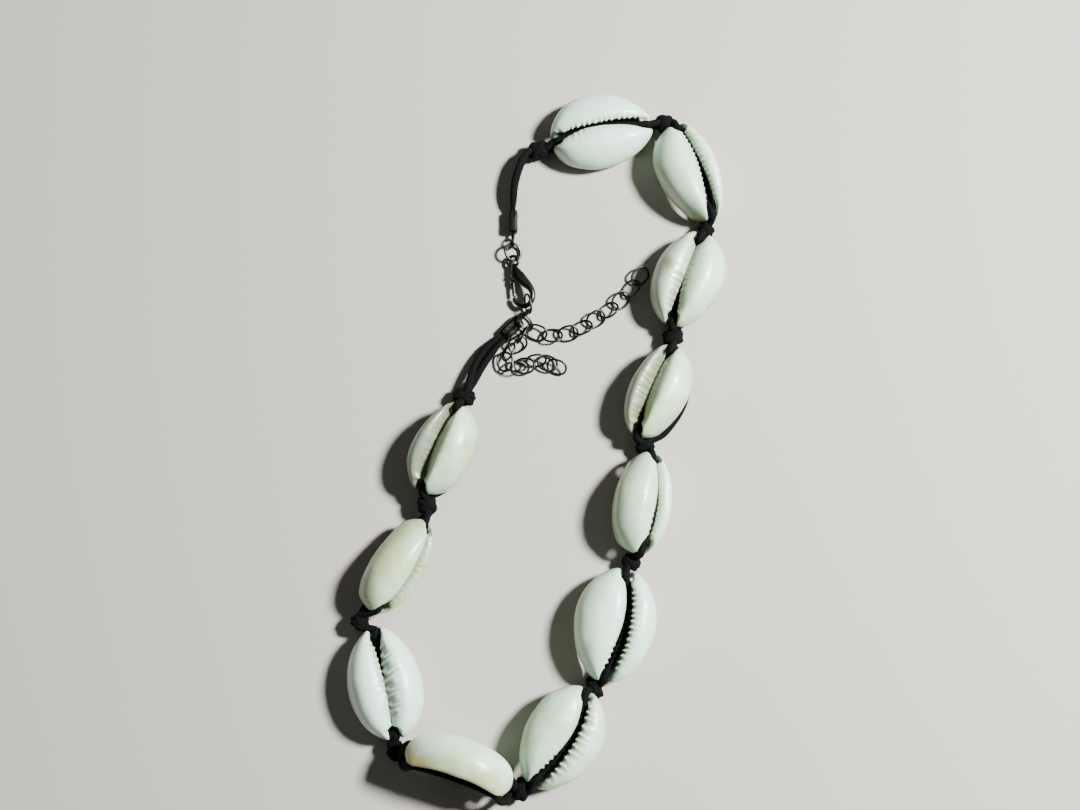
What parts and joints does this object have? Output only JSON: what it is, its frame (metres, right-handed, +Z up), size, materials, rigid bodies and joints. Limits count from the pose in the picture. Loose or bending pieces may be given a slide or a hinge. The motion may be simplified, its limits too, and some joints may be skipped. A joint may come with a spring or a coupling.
{
  "type": "cowrie shell necklace",
  "caption": "Closed loop necklace of sliced cowrie shells knotted on doubled black cord, with fold-over crimps, lobster clasp, jump ring and link extender chain",
  "frame": {"origin": "under the middle of the necklace's box, on the surface it lies on", "axes": "+Y along the loop towards the two shells at the clasp's end, +X to the side the longer run of shells is on, +Z up from the surface"},
  "size_m": [0.089, 0.1697, 0.0168],
  "materials": {
    "shell": "natural glossy cowrie shell, ivory white with a faint olive cast",
    "waxed_cord": "matte black waxed cotton cord",
    "plated_metal": "gunmetal plating, glossy on the clasp and rings, mottled on the crimps",
    "lever_metal": "gunmetal plating"
  },
  "bodies": {
    "necklace": {"shell_01": "shell", "shell_02": "shell", "shell_03": "shell", "shell_04": "shell", "shell_05": "shell", "shell_06": "shell", "shell_07": "shell", "shell_08": "shell", "shell_09": "shell", "shell_10": "shell", "shell_11": "shell", "knot_01": "waxed_cord", "knot_02": "waxed_cord", "knot_03": "waxed_cord", "knot_04": "waxed_cord", "knot_05": "waxed_cord", "knot_06": "waxed_cord", "knot_07": "waxed_cord", "knot_08": "waxed_cord", "knot_09": "waxed_cord", "knot_10": "waxed_cord", "knot_11": "waxed_cord", "knot_12": "waxed_cord", "strands_01": "waxed_cord", "strands_02": "waxed_cord", "strands_03": "waxed_cord", "strands_04": "waxed_cord", "strands_05": "waxed_cord", "strands_06": "waxed_cord", "strands_07": "waxed_cord", "strands_08": "waxed_cord", "strands_09": "waxed_cord", "strands_10": "waxed_cord", "strands_11": "waxed_cord", "clasp_cord": "waxed_cord", "chain_cord": "waxed_cord", "clasp_crimp": "plated_metal", "chain_crimp": "plated_metal", "jump_ring": "plated_metal", "clasp_body": "plated_metal", "crimp_link": "plated_metal", "hooked_link": "plated_metal", "extender_long": "plated_metal", "extender_short": "plated_metal"},
    "lever": {"clasp_lever": "lever_metal"}
  },
  "joints": [
    {"name": "lever_hinge", "type": "hinge", "parent": "necklace", "child": "lever", "pos_m": [-0.00643, 0.03947, 0.00164], "axis": [-0.3412, -0.0239, 0.9397], "range_deg": [0, 25], "stiffness_Nm_per_rad": 0.002, "springref_deg": -20.05}
  ]
}
